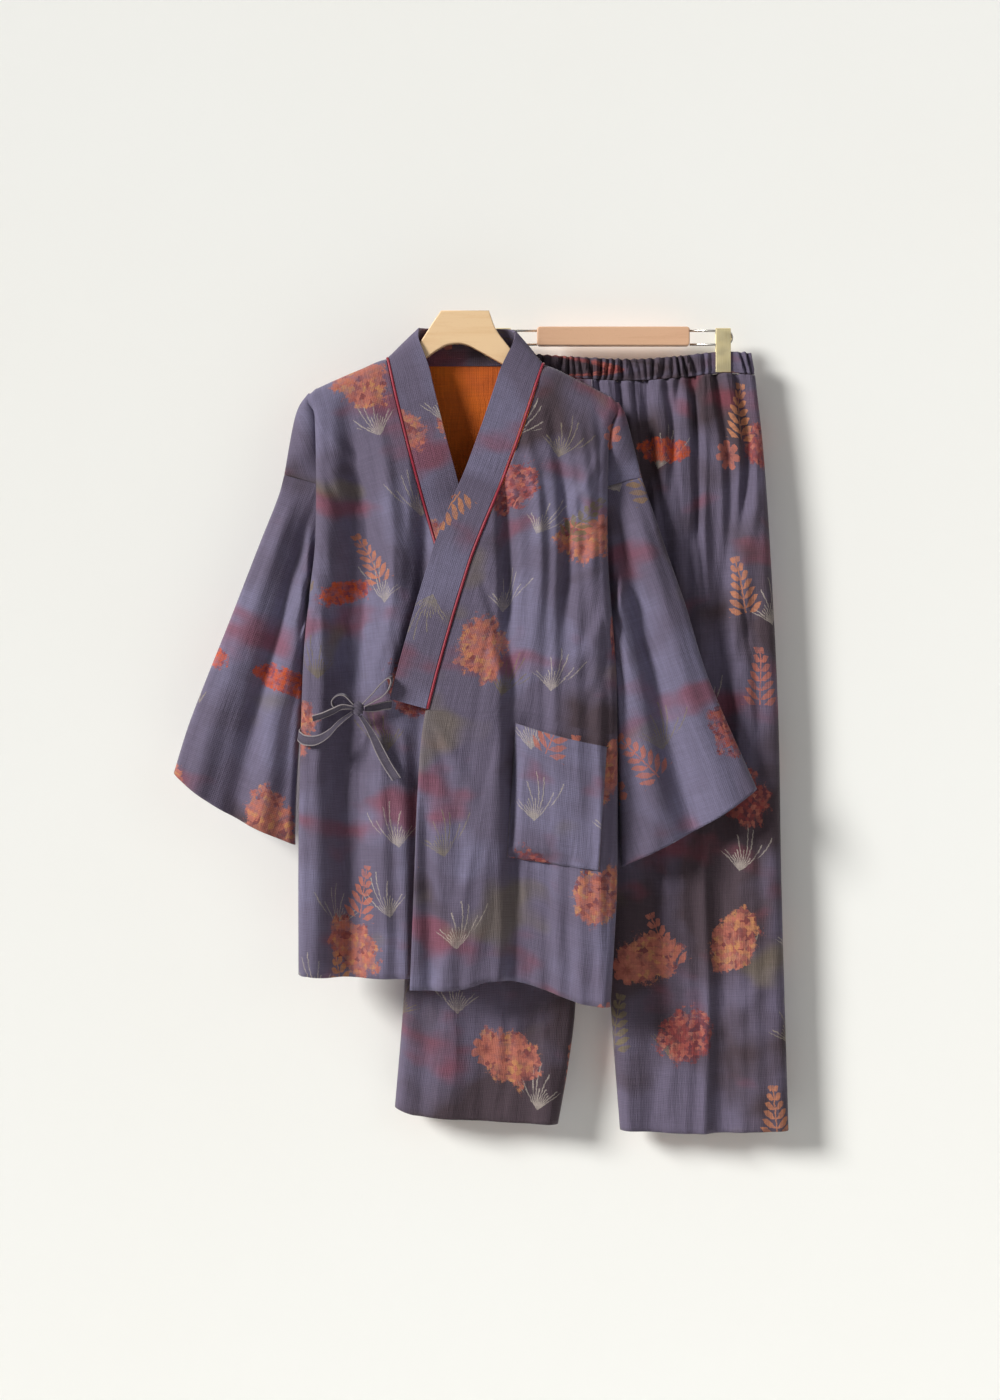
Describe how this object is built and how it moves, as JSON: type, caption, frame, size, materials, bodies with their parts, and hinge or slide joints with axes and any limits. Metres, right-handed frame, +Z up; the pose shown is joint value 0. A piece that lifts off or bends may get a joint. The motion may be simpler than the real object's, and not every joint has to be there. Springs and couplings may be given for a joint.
{
  "type": "kimono pajama set on a jacket hanger and a clip hanger",
  "caption": "Wrapped cotton pajama jacket with neckband, patch pocket and tied bow on a wooden hanger, over gathered trousers on a clip hanger.",
  "frame": {"origin": "middle of the flat top of the jacket hanger's neck", "axes": "+Z up, -Y to the front of the garments, +X to the wearer's left"},
  "size_m": [0.7729, 0.1079, 1.033],
  "materials": {
    "printed_cotton": "matte printed double gauze",
    "piping": "soft crimson cord",
    "plain_cotton": "matte plain weave",
    "hanger_wood": "satin varnish",
    "rail_wood": "satin varnish",
    "wire_steel": "bright",
    "clip_brass": "satin"
  },
  "bodies": {
    "root": {"jacket_front_left": "printed_cotton", "jacket_front_right": "printed_cotton", "jacket_back": "printed_cotton", "sleeve_left": "printed_cotton", "sleeve_right": "printed_cotton", "neckband": "printed_cotton", "neckband_piping": "piping", "pocket": "printed_cotton", "tie_from_neckband": "plain_cotton", "tie_from_side": "plain_cotton", "tail_long": "plain_cotton", "tail_short": "plain_cotton", "loop_left": "plain_cotton", "loop_right": "plain_cotton", "bow_knot": "plain_cotton", "trousers_front_left": "printed_cotton", "trousers_back_left": "printed_cotton", "trousers_front_right": "printed_cotton", "trousers_back_right": "printed_cotton", "waistband": "printed_cotton", "jacket_hanger": "hanger_wood", "clip_hanger_rail": "rail_wood", "clip_wire_left": "wire_steel", "clip_wire_right": "wire_steel", "clip_left": "clip_brass", "clip_right": "clip_brass"}
  },
  "joints": []
}
